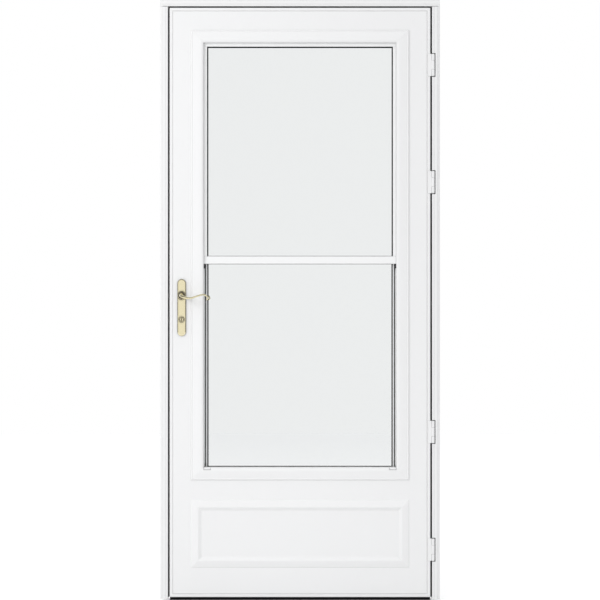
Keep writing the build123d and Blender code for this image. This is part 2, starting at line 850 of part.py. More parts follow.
def sash_nodes():
    """The two sashes with their glass, seals and latches, and the clips under the upper one, by name."""
    reach = track_depth - track_wall
    upper_end = window_top + reach - sash_clearance
    upper_rail = upper_rail_seen + reach - sash_clearance
    seals = (upper_seal_low, glazing_seal_width)
    upper = sash(meeting_bottom, upper_end, meeting_height, upper_rail, outer_channel, *seals)
    lower_end = meeting_bottom + meeting_height
    lower_rail = reach + lower_rail_seen
    seals = (lower_seal_low, lower_seal_high)
    lower = sash(window_sill - reach, lower_end, lower_rail, meeting_height, inner_channel, *seals)
    lower_stile = stepped(lower["stiles"][0])
    clip = support_clip()
    return {
        "upper_sash_rail": upper["head"],
        "meeting_rail": upper["foot"],
        "upper_sash_stiles": upper["stiles"],
        "upper_glass": upper["glass"],
        "lower_sash_top_rail": lower["head"],
        "lower_sash_bottom_rail": lower["foot"],
        "lower_sash_stiles": [lower_stile, mirrored(lower_stile)],
        "lower_glass": lower["glass"],
        "glazing_seals": upper["seals"] + lower["seals"],
        "sash_latches": upper["latches"] + lower["latches"],
        "support_clips": [clip, mirrored(clip)],
    }


def lock_nodes():
    """The plates, key cylinder, thumb-turn, levers and spindle by name."""
    plate = escutcheon()
    grip = lever()
    return {
        "outside_escutcheon": plate,
        "inside_escutcheon": other_face(plate),
        "lock_cylinder": lock_cylinder(),
        "thumb_turn": thumb_turn(),
        "outside_lever": grip,
        "inside_lever": other_face(grip),
        "spindle": spindle(),
    }


def build():
    """Every node by name."""
    return frame_nodes() | hinge_nodes() | leaf_nodes() | window_frame_nodes() | sash_nodes() | lock_nodes()


def export(nodes):
    """Write each node as a STEP file, with the origin on the header flange's back face."""
    os.makedirs("parts", exist_ok=True)
    place = Pos(0, 0, -origin_height)
    for name, shape in nodes.items():
        if isinstance(shape, list):
            shape = Compound(children=[Compound(piece.solids()) for piece in shape])
        export_step(place * shape, "parts/" + name + ".step")


export(build())
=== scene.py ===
# Storm door in its frame: studio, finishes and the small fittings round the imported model
import bpy
import bmesh
import math
from mathutils import Matrix, Vector


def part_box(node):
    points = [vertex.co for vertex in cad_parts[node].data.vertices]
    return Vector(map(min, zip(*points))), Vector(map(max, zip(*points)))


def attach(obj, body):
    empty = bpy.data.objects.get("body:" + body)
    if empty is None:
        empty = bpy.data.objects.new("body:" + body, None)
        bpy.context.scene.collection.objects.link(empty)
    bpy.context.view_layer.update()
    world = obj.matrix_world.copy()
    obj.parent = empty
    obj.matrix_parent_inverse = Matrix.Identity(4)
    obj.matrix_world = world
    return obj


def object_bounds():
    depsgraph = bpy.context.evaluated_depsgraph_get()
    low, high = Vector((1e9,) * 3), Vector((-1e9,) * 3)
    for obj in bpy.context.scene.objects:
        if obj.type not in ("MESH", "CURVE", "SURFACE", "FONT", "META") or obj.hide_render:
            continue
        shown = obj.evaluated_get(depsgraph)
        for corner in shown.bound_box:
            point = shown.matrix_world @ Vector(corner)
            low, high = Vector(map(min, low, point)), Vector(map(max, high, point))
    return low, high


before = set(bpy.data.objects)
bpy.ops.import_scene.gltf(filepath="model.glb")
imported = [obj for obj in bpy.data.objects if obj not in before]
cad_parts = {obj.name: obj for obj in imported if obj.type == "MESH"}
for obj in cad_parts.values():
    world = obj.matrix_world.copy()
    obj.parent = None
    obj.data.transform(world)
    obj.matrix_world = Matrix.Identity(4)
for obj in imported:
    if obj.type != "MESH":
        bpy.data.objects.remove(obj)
cadLow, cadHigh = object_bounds()
print("model loaded:", len(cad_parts), "nodes")

scene = bpy.context.scene
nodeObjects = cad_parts

# Node helpers: a plain value is set on its socket, and another node's output is linked to it


def feed(tree, socket, value):
    if isinstance(value, bpy.types.NodeSocket):
        tree.links.new(value, socket)
    else:
        socket.default_value = value


def mathNode(tree, operation, *values):
    node = tree.nodes.new("ShaderNodeMath")
    node.operation = operation
    for socket, value in zip(node.inputs, values):
        feed(tree, socket, value)
    return node.outputs[0]


def dotNode(tree, vector, way):
    node = tree.nodes.new("ShaderNodeVectorMath")
    node.operation = "DOT_PRODUCT"
    feed(tree, node.inputs[0], vector)
    feed(tree, node.inputs[1], way)
    return node.outputs["Value"]


def rangeNode(tree, value, fromLow, fromHigh, toLow, toHigh, curve="LINEAR"):
    node = tree.nodes.new("ShaderNodeMapRange")
    node.interpolation_type = curve
    feed(tree, node.inputs["Value"], value)
    for label, end in (("From Min", fromLow), ("From Max", fromHigh), ("To Min", toLow), ("To Max", toHigh)):
        feed(tree, node.inputs[label], end)
    return node.outputs["Result"]


def mixColours(tree, factor, first, second, blend="MIX"):
    node = tree.nodes.new("ShaderNodeMix")
    node.data_type = "RGBA"
    node.blend_type = blend
    for index, value in ((0, factor), (6, first), (7, second)):  # 6 and 7 are its two colours
        feed(tree, node.inputs[index], value)
    return node.outputs[2]


def noiseNode(tree, vector, scale, detail, roughness=0.5):
    node = tree.nodes.new("ShaderNodeTexNoise")
    for label, value in (("Vector", vector), ("Scale", scale), ("Detail", detail), ("Roughness", roughness)):
        feed(tree, node.inputs[label], value)
    return node.outputs["Fac"]


def splitVector(tree, vector):
    node = tree.nodes.new("ShaderNodeSeparateXYZ")
    tree.links.new(vector, node.inputs[0])
    return node.outputs["X"], node.outputs["Y"], node.outputs["Z"]


def joinVector(tree, x=0.0, y=0.0, z=0.0):
    node = tree.nodes.new("ShaderNodeCombineXYZ")
    for label, value in (("X", x), ("Y", y), ("Z", z)):
        feed(tree, node.inputs[label], value)
    return node.outputs[0]


def objectPlace(tree):
    return tree.nodes.new("ShaderNodeTexCoord").outputs["Object"]


def newFinish(name):
    finish = bpy.data.materials.new(name)
    finish.use_nodes = True
    tree = finish.node_tree
    return finish, tree, tree.nodes["Principled BSDF"]


# Studio: the lens square on to the leaf's outdoor face, the surroundings, lamps and floor

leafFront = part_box("latch_stile")[0].y
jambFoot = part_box("latch_jamb")[0].z
doorMiddle = (cadLow + cadHigh) / 2

shot = {
    "distance": 5.6,  # from the lens to the leaf's outdoor face
    "width": 2.0494,  # metres across the picture at that face
    "aboveFoot": 1.0205,  # height of the lens over the foot of the jambs
    "sensorWidth": 36,  # millimetres
    "farEnd": 100,  # nothing further off than this shows
}


def addCamera():
    data = bpy.data.cameras.new("photoCamera")
    data.sensor_width = shot["sensorWidth"]
    data.lens = shot["sensorWidth"] * shot["distance"] / shot["width"]
    data.clip_end = shot["farEnd"]
    camera = bpy.data.objects.new("photoCamera", data)
    scene.collection.objects.link(camera)
    camera.location = (0, leafFront - shot["distance"], jambFoot + shot["aboveFoot"])
    camera.rotation_euler = (math.pi / 2, 0, 0)  # level, towards the room
    scene.camera = camera


def seenRay(tree, path):
    # 1 for the rays of the lens, of gloss and through glass
    lensOrGloss = mathNode(tree, "MAXIMUM", path.outputs["Is Camera Ray"], path.outputs["Is Glossy Ray"])
    return mathNode(tree, "MAXIMUM", lensOrGloss, path.outputs["Is Transmission Ray"])


surroundings = {
    "colour": (0.993, 0.993, 1, 1),
    "level": 0.84,
    "lean": 0.34,  # share by which the soft light is stronger from above and the left
    "leanWay": (-0.4, 0, 0.92),
    # the studio's dark sides, as metal shows them: the way to each, where the dark begins and is full, and
    # its level
    "darkSides": [
        {"way": (0.9, 0, 0.7), "begins": 0.03, "full": 0.3, "level": 0.01},
        {"way": (-1, 0, -0.1), "begins": 0.25, "full": 0.7, "level": 0.25},
    ],
    # they lie across the view: the share of a direction that points along it, where the dark is still full
    # and where it is gone
    "darkFull": 0.5,
    "darkNone": 0.88,
}


def backgroundNode(tree, colour, strength):
    node = tree.nodes.new("ShaderNodeBackground")
    feed(tree, node.inputs["Color"], colour)
    feed(tree, node.inputs["Strength"], strength)
    return node.outputs[0]


def glossLevel(tree, way):
    level = 1.0
    for dark in surroundings["darkSides"]:
        tilt = dotNode(tree, way, dark["way"])
        side = rangeNode(tree, tilt, dark["begins"], dark["full"], 1, dark["level"], "SMOOTHSTEP")
        level = mathNode(tree, "MULTIPLY", level, side)
    depth = mathNode(tree, "ABSOLUTE", splitVector(tree, way)[1])
    ahead = rangeNode(tree, depth, surroundings["darkFull"], surroundings["darkNone"], 0, 1, "SMOOTHSTEP")
    return mathNode(tree, "MAXIMUM", level, ahead)


def addWorld():
    world = bpy.data.worlds.new("studioWorld")
    scene.world = world
    world.use_nodes = True
    tree = world.node_tree
    tree.nodes.clear()
    path = tree.nodes.new("ShaderNodeLightPath")
    way = tree.nodes.new("ShaderNodeTexCoord").outputs["Generated"]
    # what lights the door
    level, lean = surroundings["level"], surroundings["lean"]
    tilt = dotNode(tree, way, surroundings["leanWay"])
    strength = rangeNode(tree, tilt, -1, 1, level * (1 - lean), level * (1 + lean))
    room = backgroundNode(tree, surroundings["colour"], strength)
    # what the lens, the glass and the brass see: white, with the dark sides in gloss only
    # rough glass passes rays that count as glossy too, and these see plain white
    glossy, passed = path.outputs["Is Glossy Ray"], path.outputs["Is Transmission Ray"]
    glossOnly = mathNode(tree, "GREATER_THAN", glossy, passed)
    seen = backgroundNode(tree, mixColours(tree, glossOnly, (1, 1, 1, 1), glossLevel(tree, way)), 1)
    mix = tree.nodes.new("ShaderNodeMixShader")
    for index, value in enumerate((seenRay(tree, path), room, seen)):
        tree.links.new(value, mix.inputs[index])
    out = tree.nodes.new("ShaderNodeOutputWorld")
    tree.links.new(mix.outputs[0], out.inputs["Surface"])


# places are from the door's middle, and each lamp is aimed at that middle, raised by aimRise
lamps = {
    "keyLamp": {"place": (-2.5, -2.1, 1.1), "power": 25.5, "size": 1.2, "aimRise": 0},
    "fillLamp": {"place": (1.2, -4.6, -0.9), "power": 2.6, "size": 1.2, "aimRise": 0},
    "footLamp": {"place": (0.05, -0.8, -0.82), "power": 0.27, "size": 0.4, "aimRise": -0.82},  # aimed level
    "backLamp": {"place": (1.6, 3.0, 2.4), "power": 21.0, "size": 1.2, "aimRise": 0},
}


def addLamp(name, place, power, size, aimRise):
    data = bpy.data.lights.new(name, "AREA")
    data.energy = power
    data.shape = "DISK"
    data.size = size
    lamp = bpy.data.objects.new(name, data)
    scene.collection.objects.link(lamp)
    lamp.location = doorMiddle + Vector(place)
    aim = doorMiddle + Vector((0, 0, aimRise))
    lamp.rotation_euler = (aim - lamp.location).to_track_quat("-Z", "Y").to_euler()
    lamp.visible_camera = False
    lamp.visible_glossy = False  # no lamp shows as a disc in the panes
    lamp.visible_transmission = False


ground = {
    "side": 14.0,
    "drop": 0.0005,  # under the door's foot
    "colour": (0.75, 0.75, 0.75, 1),
    "roughness": 0.9,
    "lift": 0.245,  # added to what the lens sees of the floor
    "liftThrough": 0.235,  # and to what shows in the brass and through the glass
}


def addFloor():
    half = ground["side"] / 2
    level = cadLow.z - ground["drop"]
    corners = [(-half, -half, level), (half, -half, level), (half, half, level), (-half, half, level)]
    mesh = bpy.data.meshes.new("studioFloor")
    mesh.from_pydata(corners, [], [(0, 1, 2, 3)])
    floor = bpy.data.objects.new("studioFloor", mesh)
    scene.collection.objects.link(floor)
    paint, tree, shader = newFinish("floorPaint")
    shader.inputs["Base Color"].default_value = ground["colour"]
    shader.inputs["Roughness"].default_value = ground["roughness"]
    shader.inputs["Specular IOR Level"].default_value = 0
    shader.inputs["Emission Color"].default_value = (1, 1, 1, 1)
    path = tree.nodes.new("ShaderNodeLightPath")
    through = mathNode(tree, "MULTIPLY", seenRay(tree, path), ground["liftThrough"])
    lensOnly = ground["lift"] - ground["liftThrough"]
    lift = mathNode(tree, "MULTIPLY_ADD", path.outputs["Is Camera Ray"], lensOnly, through)
    tree.links.new(lift, shader.inputs["Emission Strength"])
    mesh.materials.append(paint)


addCamera()
addWorld()
for lampName, lampSizes in lamps.items():
    addLamp(lampName, **lampSizes)
addFloor()
scene.view_settings.view_transform = "Standard"
print("studio ready:", len(lamps), "lamps")

# Shared node groups: they put out colours, values and heights for the finishes below


def newGroup(name, inputs, outputs):
    tree = bpy.data.node_groups.new(name, "ShaderNodeTree")
    for label, kind, value in inputs:
        socket = tree.interface.new_socket(label, in_out="INPUT", socket_type=kind)
        socket.default_value = value
    for label, kind in outputs:
        tree.interface.new_socket(label, in_out="OUTPUT", socket_type=kind)
    return tree, tree.nodes.new("NodeGroupInput").outputs, tree.nodes.new("NodeGroupOutput").inputs


def swingAround(tree, noise, reach, middle):
    # noise runs from 0 to 1, and so lies half below the middle value
    centred = mathNode(tree, "SUBTRACT", noise, 0.5)
    return mathNode(tree, "ADD", mathNode(tree, "MULTIPLY", centred, reach), middle)


coatGrain = {
    "driftScale": 2.2,  # drifts of tone, about half a metre long
    "patchScale": 17.0,  # patches of gloss, about 6 cm wide
    "slowDetail": 3.0,
    "peelDetail": 2.0,
    "peelRoughness": 0.4,
}


def makeSprayedCoat():
    # orange-peel skin of a sprayed or baked coat, with slow drifts of tone
    tree, given, out = newGroup(
        "sprayedCoat",
        [
            ("Colour", "NodeSocketColor", (0.8, 0.8, 0.8, 1)),
            ("Peel Scale", "NodeSocketFloat", 420.0),
            ("Tone Drift", "NodeSocketFloat", 0.012),
            ("Roughness", "NodeSocketFloat", 0.34),
            ("Roughness Drift", "NodeSocketFloat", 0.08),
        ],
        [("Colour", "NodeSocketColor"), ("Roughness", "NodeSocketFloat"), ("Height", "NodeSocketFloat")],
    )
    place = objectPlace(tree)
    slow = noiseNode(tree, place, coatGrain["driftScale"], coatGrain["slowDetail"])
    patch = noiseNode(tree, place, coatGrain["patchScale"], coatGrain["slowDetail"])
    peel = noiseNode(tree, place, given["Peel Scale"], coatGrain["peelDetail"], coatGrain["peelRoughness"])
    level = swingAround(tree, slow, given["Tone Drift"], 1.0)
    tone = tree.nodes.new("ShaderNodeCombineColor")
    for channel in range(3):
        tree.links.new(level, tone.inputs[channel])
    tree.links.new(mixColours(tree, 1.0, given["Colour"], tone.outputs[0], "MULTIPLY"), out["Colour"])
    tree.links.new(swingAround(tree, patch, given["Roughness Drift"], given["Roughness"]), out["Roughness"])
    tree.links.new(peel, out["Height"])
    return tree


dirtAndShadePatches = {
    "samples": 8,
    "scale": 60.0,
    "detail": 4.0,
    "roughness": 0.6,
    "from": 0.3,  # noise values between which the darkening, dust with painted shade, grows from its thinnest to full
    "to": 0.7,
    "thinnest": 0.7,
}


def makeCreviceDirtAndShade():
    # dust and tarnish that stay in gaps and in the corners of mouldings, together with painted shade: colour
    # darkened where little light gets in
    tree, given, out = newGroup(
        "creviceDirtAndShade",
        [
            ("Colour", "NodeSocketColor", (0.8, 0.8, 0.8, 1)),
            ("Dirt And Shade Colour", "NodeSocketColor", (0.3, 0.29, 0.27, 1)),
            ("Amount", "NodeSocketFloat", 0.3),
            ("Reach", "NodeSocketFloat", 0.025),
            ("Shut", "NodeSocketFloat", 0.12),  # how open a spot is where the darkening is full
            ("Open", "NodeSocketFloat", 0.3),  # and where there is none
        ],
        [("Colour", "NodeSocketColor")],
    )
    # painted shade: the less open a spot is to light, the darker its colour
    openness = tree.nodes.new("ShaderNodeAmbientOcclusion")
    openness.samples = dirtAndShadePatches["samples"]
    tree.links.new(given["Reach"], openness.inputs["Distance"])
    closed = rangeNode(tree, openness.outputs["AO"], given["Shut"], given["Open"], 1.0, 0.0)
    patch = noiseNode(
        tree, objectPlace(tree), dirtAndShadePatches["scale"], dirtAndShadePatches["detail"], dirtAndShadePatches["roughness"]
    )
    spread = rangeNode(tree, patch, dirtAndShadePatches["from"], dirtAndShadePatches["to"], dirtAndShadePatches["thinnest"], 1.0)
    mask = mathNode(tree, "MULTIPLY", mathNode(tree, "MULTIPLY", closed, spread), given["Amount"])
    tree.links.new(mixColours(tree, mask, given["Colour"], given["Dirt And Shade Colour"]), out["Colour"])
    return tree


scratchGrain = {
    "lineDetail": 3.0,
    "lineRoughness": 0.6,
    "lineShare": 0.4,  # of the roughness, the rest being smudges
    "smudgeScale": 45.0,
    "smudgeDetail": 3.0,
}


def makeFineScratches():
    # hairlines of polishing and handling on metal
    tree, given, out = newGroup(
        "fineScratches",
        [
            ("Scale", "NodeSocketFloat", 300.0),
            ("Stretch", "NodeSocketFloat", 30.0),
            ("Roughness", "NodeSocketFloat", 0.15),
            ("Swing", "NodeSocketFloat", 0.1),
        ],
        [("Roughness", "NodeSocketFloat"), ("Height", "NodeSocketFloat")],
    )
    place = objectPlace(tree)
    x, y, z = splitVector(tree, place)
    upright = joinVector(tree, x, y, mathNode(tree, "DIVIDE", z, given["Stretch"]))
    sizes = scratchGrain
    lines = noiseNode(tree, upright, given["Scale"], sizes["lineDetail"], sizes["lineRoughness"])
    smudge = noiseNode(tree, place, sizes["smudgeScale"], sizes["smudgeDetail"])
    lineShare = sizes["lineShare"]
    lined = mathNode(tree, "MULTIPLY", lines, lineShare)
    both = mathNode(tree, "ADD", lined, mathNode(tree, "MULTIPLY", smudge, 1 - lineShare))
    tree.links.new(swingAround(tree, both, given["Swing"], given["Roughness"]), out["Roughness"])
    tree.links.new(lines, out["Height"])
    return tree


sprayedCoat = makeSprayedCoat()
creviceDirtAndShade = makeCreviceDirtAndShade()
fineScratches = makeFineScratches()
print("node groups ready")

# Finishes


def placeGroup(tree, group, values):
    node = tree.nodes.new("ShaderNodeGroup")
    node.node_tree = group
    for label, value in values.items():
        feed(tree, node.inputs[label], value)
    return node.outputs


edgeSamples = 6  # for the softened edges


def addBump(tree, shader, height, strength, depth, edge):
    # fine relief, over a small softening of the model's sharp edges
    soft = tree.nodes.new("ShaderNodeBevel")
    soft.samples = edgeSamples
    soft.inputs["Radius"].default_value = edge
    bump = tree.nodes.new("ShaderNodeBump")
    bump.inputs["Strength"].default_value = strength
    bump.inputs["Distance"].default_value = depth
    tree.links.new(height, bump.inputs["Height"])
    tree.links.new(soft.outputs["Normal"], bump.inputs["Normal"])
    tree.links.new(bump.outputs["Normal"], shader.inputs["Normal"])


fineRelief = 0.0001  # depth of the coats' peel and of the metals' scratches
doorWhite = (0.855, 0.858, 0.86, 1)

# peel is the scale of a coat's grain, relief its strength, and edge the radius of the softened edges
# seam is how much dust and painted shade lie in joints and corners, and gap how much painted shade darkens
# deep gaps: gapTone is its colour, and gapOpen how open a spot is where it ends
coats = {
    "skinEnamel": {
        "colour": doorWhite, "peel": 420.0, "rough": 0.36, "relief": 0.12, "edge": 0.0006,
        "seam": 0.5, "gapTone": 0.1, "gap": 0.9, "gapOpen": 0.3,
    },
    "barEnamel": {
        "colour": doorWhite, "peel": 520.0, "rough": 0.32, "relief": 0.1, "edge": 0.0005,
        "seam": 0.5, "gapTone": 0.1, "gap": 0.9, "gapOpen": 0.3,
    },
    # darker painted shade in the gap round the hinge notch
    "notchedBarEnamel": {
        "colour": doorWhite, "peel": 520.0, "rough": 0.32, "relief": 0.1, "edge": 0.0005,
        "seam": 0.5, "gapTone": 0.02, "gap": 1.3, "gapOpen": 0.5,
    },
    "mouldingVinyl": {
        "colour": (0.86, 0.863, 0.865, 1), "peel": 260.0, "rough": 0.4, "relief": 0.08, "edge": 0.0006,
        "seam": 0.4, "gapTone": 0.1, "gap": 0.9, "gapOpen": 0.3,
    },
    "sashEnamel": {
        "colour": (0.895, 0.9, 0.9, 1), "peel": 600.0, "rough": 0.3, "relief": 0.08, "edge": 0.0004,
        "seam": 0.15, "gapTone": 0.1, "gap": 0.9, "gapOpen": 0.3,
    },
    # darker painted shade where the hinge sits in the notch
    "hingeEnamel": {
        "colour": doorWhite, "peel": 700.0, "rough": 0.3, "relief": 0.15, "edge": 0.0005,
        "seam": 0.3, "gapTone": 0.02, "gap": 1.3, "gapOpen": 0.5,
    },
}
seamDustAndShade = {"Reach": 0.0035, "Shut": 0.35, "Open": 0.9}


def makeCoat(name):
    sizes = coats[name]
    finish, tree, shader = newFinish(name)
    coat = placeGroup(
        tree,
        sprayedCoat,
        {"Colour": sizes["colour"], "Peel Scale": sizes["peel"], "Roughness": sizes["rough"]},
    )
    # seam: dust in joints and corners, with painted shade there
    seam = placeGroup(tree, creviceDirtAndShade, {"Colour": coat["Colour"], "Amount": sizes["seam"], **seamDustAndShade})
    # gap: painted shade deep in the gaps
    tone = sizes["gapTone"]
    gap = placeGroup(
        tree,
        creviceDirtAndShade,
        {
            "Colour": seam["Colour"],
            "Dirt And Shade Colour": (tone, tone, tone, 1),
            "Amount": sizes["gap"],
            "Open": sizes["gapOpen"],
        },
    )
    tree.links.new(gap["Colour"], shader.inputs["Base Color"])
    tree.links.new(coat["Roughness"], shader.inputs["Roughness"])
    addBump(tree, shader, coat["Height"], sizes["relief"], fineRelief, sizes["edge"])
    return finish


metals = {
    "polishedBrass": {
        "lacquer": 0.3,
        "lacquerRough": 0.08,
        "marks": {"Roughness": 0.16, "Swing": 0.12},
        # tarnish in the hollows, made darker as painted shade round the hub and key cylinder and along the
        # plate's edges
        "tarnishAndShade": {
            "Colour": (0.82, 0.745, 0.5, 1), "Dirt And Shade Colour": (0.025, 0.018, 0.01, 1), "Amount": 1.5,
            "Reach": 0.01, "Shut": 0.68, "Open": 0.97,
        },
        "relief": 0.04,
        "edge": 0.0006,
    },
    "satinSteel": {
        "lacquer": 0.0,
        "lacquerRough": 0.03,
        "marks": {"Roughness": 0.34, "Swing": 0.25, "Scale": 900.0},
        "tarnishAndShade": {
            "Colour": (0.6, 0.6, 0.59, 1), "Dirt And Shade Colour": (0.1, 0.1, 0.1, 1), "Amount": 0.7,
            "Reach": 0.01, "Open": 0.5,
        },
        "relief": 0.15,
        "edge": 0.0004,
    },
}


def makeMetal(name):
    sizes = metals[name]
    finish, tree, shader = newFinish(name)
    shader.inputs["Metallic"].default_value = 1
    shader.inputs["Coat Weight"].default_value = sizes["lacquer"]
    shader.inputs["Coat Roughness"].default_value = sizes["lacquerRough"]
    marks = placeGroup(tree, fineScratches, sizes["marks"])
    # tarnish in hollows, together with painted shade where little light gets in
    tarnishAndShade = placeGroup(tree, creviceDirtAndShade, sizes["tarnishAndShade"])
    tree.links.new(tarnishAndShade["Colour"], shader.inputs["Base Color"])
    tree.links.new(marks["Roughness"], shader.inputs["Roughness"])
    addBump(tree, shader, marks["Height"], sizes["relief"], fineRelief, sizes["edge"])
    return finish


darks = {
    "sealRubber": {"colour": (0.004, 0.004, 0.0045, 1), "rough": 0.7, "grain": 500.0, "gloss": 0.15},
    "clipPlastic": {"colour": (0.03, 0.03, 0.032, 1), "rough": 0.45, "grain": 300.0, "gloss": 0.5},
    # pile is real weatherstrip, and its dark also stands in as painted shade in the side tracks
    "pileFibre": {"colour": (0.09, 0.09, 0.095, 1), "rough": 0.9, "grain": 900.0, "gloss": 0.5},
}
darkSkin = {"toneDrift": 0.5, "roughDrift": 0.2, "relief": 0.3, "depth": 0.0002, "edge": 0.0004}


def makeDark(name):
    sizes = darks[name]
    finish, tree, shader = newFinish(name)
    shader.inputs["Specular IOR Level"].default_value = sizes["gloss"]
    coat = placeGroup(
        tree,
        sprayedCoat,
        {
            "Colour": sizes["colour"],
            "Peel Scale": sizes["grain"],
            "Roughness": sizes["rough"],
            "Tone Drift": darkSkin["toneDrift"],
            "Roughness Drift": darkSkin["roughDrift"],
        },
    )
    tree.links.new(coat["Colour"], shader.inputs["Base Color"])
    tree.links.new(coat["Roughness"], shader.inputs["Roughness"])
    addBump(tree, shader, coat["Height"], darkSkin["relief"], darkSkin["depth"], darkSkin["edge"])
    return finish


glass = {
    # a grey tint, darker than clear glass: painted shade for what shows through the panes
    "colour": (0.83, 0.845, 0.845, 1),
    "ior": 1.5,
    "filmScale": 9.0,
    "filmDetail": 4.0,
    "filmRoughness": 0.6,
    "filmFrom": 0.3,  # noise values between which the film on the panes grows from none to full
    "filmTo": 0.8,
    "filmFull": 0.035,  # the panes' roughness there
}


def makeGlass():
    finish, tree, shader = newFinish("windowGlass")
    shader.inputs["Base Color"].default_value = glass["colour"]
    shader.inputs["Transmission Weight"].default_value = 1
    shader.inputs["IOR"].default_value = glass["ior"]
    film = noiseNode(tree, objectPlace(tree), glass["filmScale"], glass["filmDetail"], glass["filmRoughness"])
    rough = rangeNode(tree, film, glass["filmFrom"], glass["filmTo"], 0.0, glass["filmFull"])
    tree.links.new(rough, shader.inputs["Roughness"])
    return finish


finishes = {name: makeCoat(name) for name in coats}
finishes.update({name: makeMetal(name) for name in metals})
finishes.update({name: makeDark(name) for name in darks})
finishes["windowGlass"] = makeGlass()

nodesOfFinish = {
    "skinEnamel": ["latch_stile", "hinge_stile", "top_rail", "kick_panel"],
    "barEnamel": [
        "latch_jamb", "header", "latch_jamb_cover", "header_cover",
        "latch_edge", "hinge_edge", "top_edge", "bottom_edge",
    ],
    "notchedBarEnamel": ["hinge_jamb", "hinge_jamb_cover"],
    "mouldingVinyl": [
        "window_moulding_sides", "window_moulding_head", "window_moulding_foot",
        "indoor_trim_sides", "indoor_trim_head", "indoor_trim_foot", "corner_plugs", "sash_latches",
    ],
    "sashEnamel": [
        "side_tracks", "head_track", "sill_track", "upper_sash_rail", "meeting_rail", "upper_sash_stiles",
        "lower_sash_top_rail", "lower_sash_bottom_rail", "lower_sash_stiles",
    ],
    "hingeEnamel": ["door_hinge_leaves", "frame_hinge_leaves", "hinge_pins"],
    "sealRubber": ["jamb_seals", "header_seal", "glazing_seals", "bottom_sweep"],
    "clipPlastic": ["support_clips"],
    "windowGlass": ["upper_glass", "lower_glass"],
    "polishedBrass": [
        "outside_escutcheon", "inside_escutcheon", "lock_cylinder", "thumb_turn",
        "outside_lever", "inside_lever",
    ],
    "satinSteel": ["strike_plate", "latch_faceplate", "latch_bolts", "spindle"],
}


def setFinish(node, finish):
    if not node.material_slots:
        node.data.materials.append(finish)
    for slot in node.material_slots:
        slot.material = finish


plain = set(nodeObjects)
for finishName, names in nodesOfFinish.items():
    for name in names:
        setFinish(nodeObjects[name], finishes[finishName])
    plain -= set(names)
print("finishes set, nodes left plain:", sorted(plain))

# Small fittings: Geometry Nodes put them in place, and each becomes a plain mesh


def newTree(name, inputs):
    tree = bpy.data.node_groups.new(name, "GeometryNodeTree")
    tree.interface.new_socket("Geometry", in_out="INPUT", socket_type="NodeSocketGeometry")
    tree.interface.new_socket("Geometry", in_out="OUTPUT", socket_type="NodeSocketGeometry")
    for label, kind in inputs:
        tree.interface.new_socket(label, in_out="INPUT", socket_type=kind)
    return tree, tree.nodes.new("NodeGroupInput").outputs, tree.nodes.new("NodeGroupOutput").inputs


def endTree(tree, out, geometry, material):
    real = tree.nodes.new("GeometryNodeRealizeInstances")
    paint = tree.nodes.new("GeometryNodeSetMaterial")
    tree.links.new(geometry, real.inputs[0])
    tree.links.new(real.outputs[0], paint.inputs["Geometry"])
    tree.links.new(material, paint.inputs["Material"])
    tree.links.new(paint.outputs[0], out[0])


def growPiece(name, tree, values, body):
    holder = bpy.data.objects.new(name + "Holder", bpy.data.meshes.new(name + "Holder"))
    scene.collection.objects.link(holder)
    modifier = holder.modifiers.new("grow", "NODES")
    modifier.node_group = tree
    for item in tree.interface.items_tree:
        if item.item_type == "SOCKET" and item.in_out == "INPUT" and item.name in values:
            modifier[item.identifier] = values[item.name]
    graph = bpy.context.evaluated_depsgraph_get()
    mesh = bpy.data.meshes.new_from_object(holder.evaluated_get(graph))
    holder.modifiers.clear()
    bpy.data.objects.remove(holder)
    mesh.name = name
    piece = bpy.data.objects.new(name, mesh)
    scene.collection.objects.link(piece)
    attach(piece, body)
    print("fitting ready:", name, len(mesh.polygons), "faces")


screwShape = {
    "turns": 28,
    "flatRim": 0.6,  # upright part of a flat head, as a share of its height
    "flatTop": 0.94,  # radius of its top, as a share of its foot's
    "domeRim": 0.3,  # upright part of a domed head
    "domeSteps": 5,  # rings from there up
    "crossLength": 0.95,  # the recess, as shares of the head's radius
    "crossWidth": 0.24,
    "cutterHeight": 0.9,  # as a share of the head's height, half of it inside the head
    "turnSeed": 4,
}


def headProfile(radius, height, flat):
    # radius and height of each ring, from the foot up
    if flat:
        rim, top = screwShape["flatRim"], screwShape["flatTop"]
        return [(radius, 0), (radius, height * rim), (radius * top, height)]
    rim, steps = screwShape["domeRim"], screwShape["domeSteps"]
    profile = [(radius, 0)]
    for step in range(steps):
        angle = step * math.pi / 2 / steps
        profile.append((radius * math.cos(angle), height * (rim + (1 - rim) * math.sin(angle))))
    return profile


def linkShape(name, shape):
    mesh = bpy.data.meshes.new(name)
    shape.to_mesh(mesh)
    shape.free()
    linked = bpy.data.objects.new(name, mesh)
    scene.collection.objects.link(linked)
    return linked


def crossCutter(name, radius, height):
    shape = bmesh.new()
    length, width = radius * screwShape["crossLength"], radius * screwShape["crossWidth"]
    for across, along in ((length, width), (width, length)):
        bar = Matrix.Diagonal((across, along, height * screwShape["cutterHeight"], 1))
        bmesh.ops.create_cube(shape, size=1, matrix=Matrix.Translation((0, 0, height)) @ bar)
    return linkShape(name, shape)


